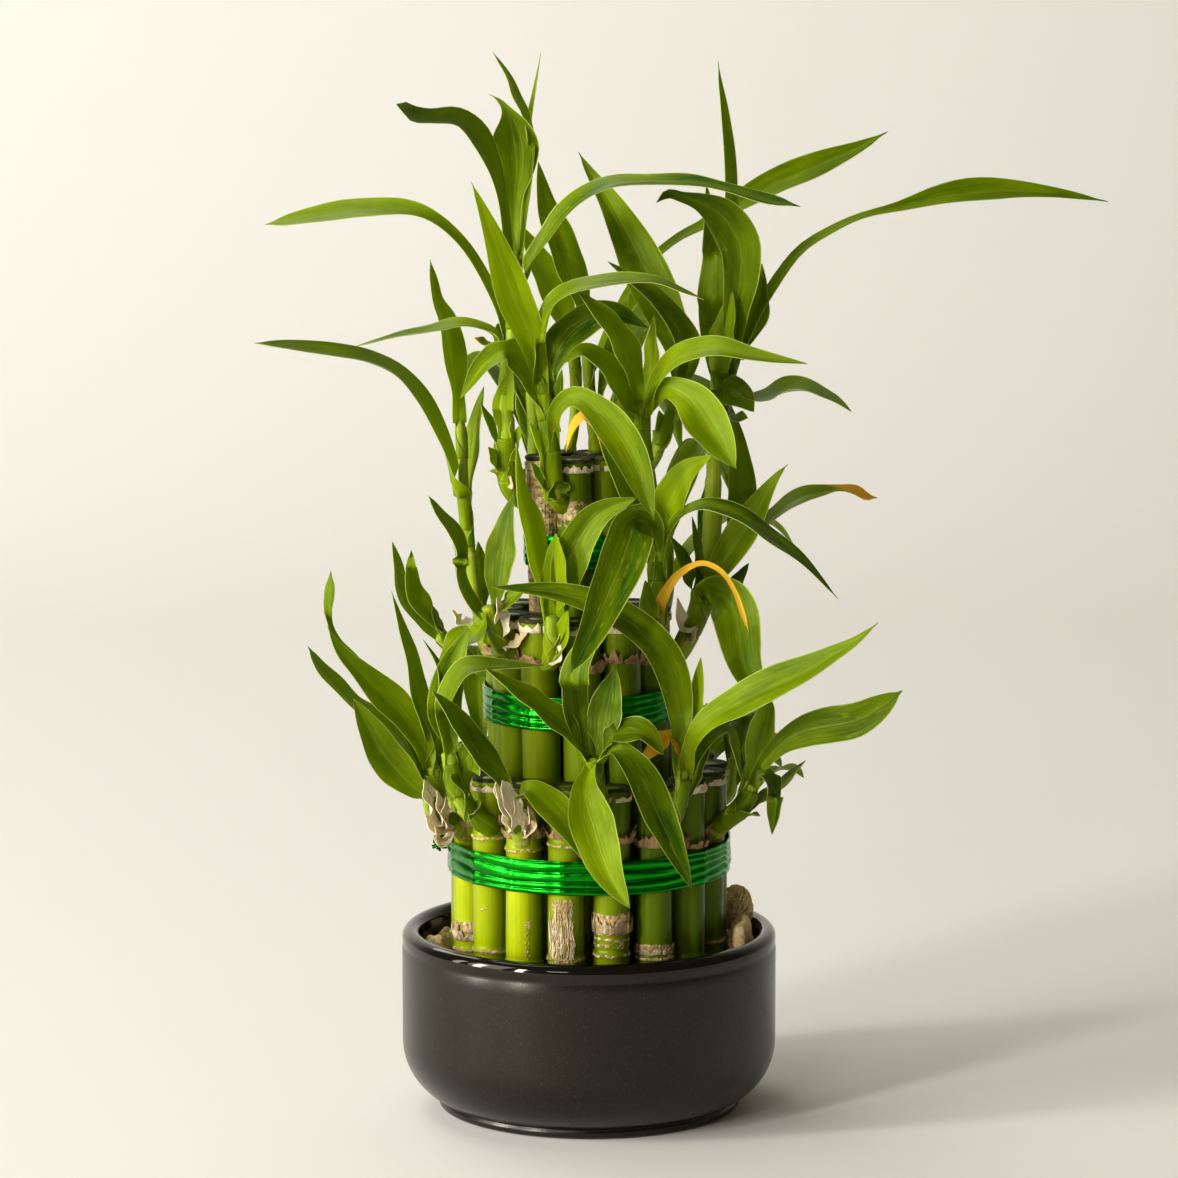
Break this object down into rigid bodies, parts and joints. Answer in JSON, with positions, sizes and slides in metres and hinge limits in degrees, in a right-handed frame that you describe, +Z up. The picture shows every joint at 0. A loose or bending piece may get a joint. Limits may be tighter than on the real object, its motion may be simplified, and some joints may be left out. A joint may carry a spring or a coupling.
{
  "type": "lucky bamboo",
  "caption": "Tiered tower of upright green canes with arching strap leaves, tied with foil ribbon bands and standing in gravel in a low round bowl",
  "frame": {"origin": "centre of the bowl's foot, on the surface it stands on", "axes": "+Z up along the tower, -Y toward the front, the side that the picture shows, +X to the right as seen from the front"},
  "size_m": [0.2944, 0.1753, 0.3651],
  "materials": {
    "glaze": "gloss",
    "gravel": "matte",
    "fibre": "matte",
    "foil": "gloss",
    "outer_plant": "satin",
    "middle_plant": "satin",
    "inner_plant": "satin",
    "dry_cane": "matte"
  },
  "bodies": {
    "root": {"pot": "glaze", "gravel_bed": "gravel", "stone_1": "gravel", "stone_2": "gravel", "stone_3": "gravel", "stone_4": "gravel", "stone_5": "gravel", "stone_6": "gravel", "stone_7": "gravel", "stone_8": "gravel", "stone_9": "gravel", "stone_10": "gravel", "fibre_wad": "fibre", "ribbon_outer": "foil", "ribbon_middle": "foil", "ribbon_inner": "foil", "outer_cane_1": "outer_plant", "outer_cane_2": "outer_plant", "outer_cane_3": "outer_plant", "outer_cane_4": "outer_plant", "outer_cane_5": "outer_plant", "outer_cane_6": "outer_plant", "outer_cane_7": "outer_plant", "outer_cane_8": "outer_plant", "outer_cane_9": "outer_plant", "outer_cane_10": "outer_plant", "outer_cane_11": "outer_plant", "outer_cane_12": "outer_plant", "outer_cane_13": "outer_plant", "outer_cane_14": "outer_plant", "outer_cane_15": "outer_plant", "outer_cane_16": "outer_plant", "outer_cane_17": "outer_plant", "middle_cane_1": "middle_plant", "middle_cane_2": "middle_plant", "middle_cane_3": "middle_plant", "middle_cane_4": "middle_plant", "middle_cane_5": "middle_plant", "middle_cane_6": "middle_plant", "middle_cane_7": "middle_plant", "middle_cane_8": "middle_plant", "middle_cane_9": "middle_plant", "middle_cane_10": "middle_plant", "middle_cane_11": "middle_plant", "inner_cane_1": "inner_plant", "inner_cane_2": "inner_plant", "inner_cane_3": "inner_plant", "inner_cane_4": "inner_plant", "inner_cane_5": "dry_cane"}
  },
  "joints": []
}
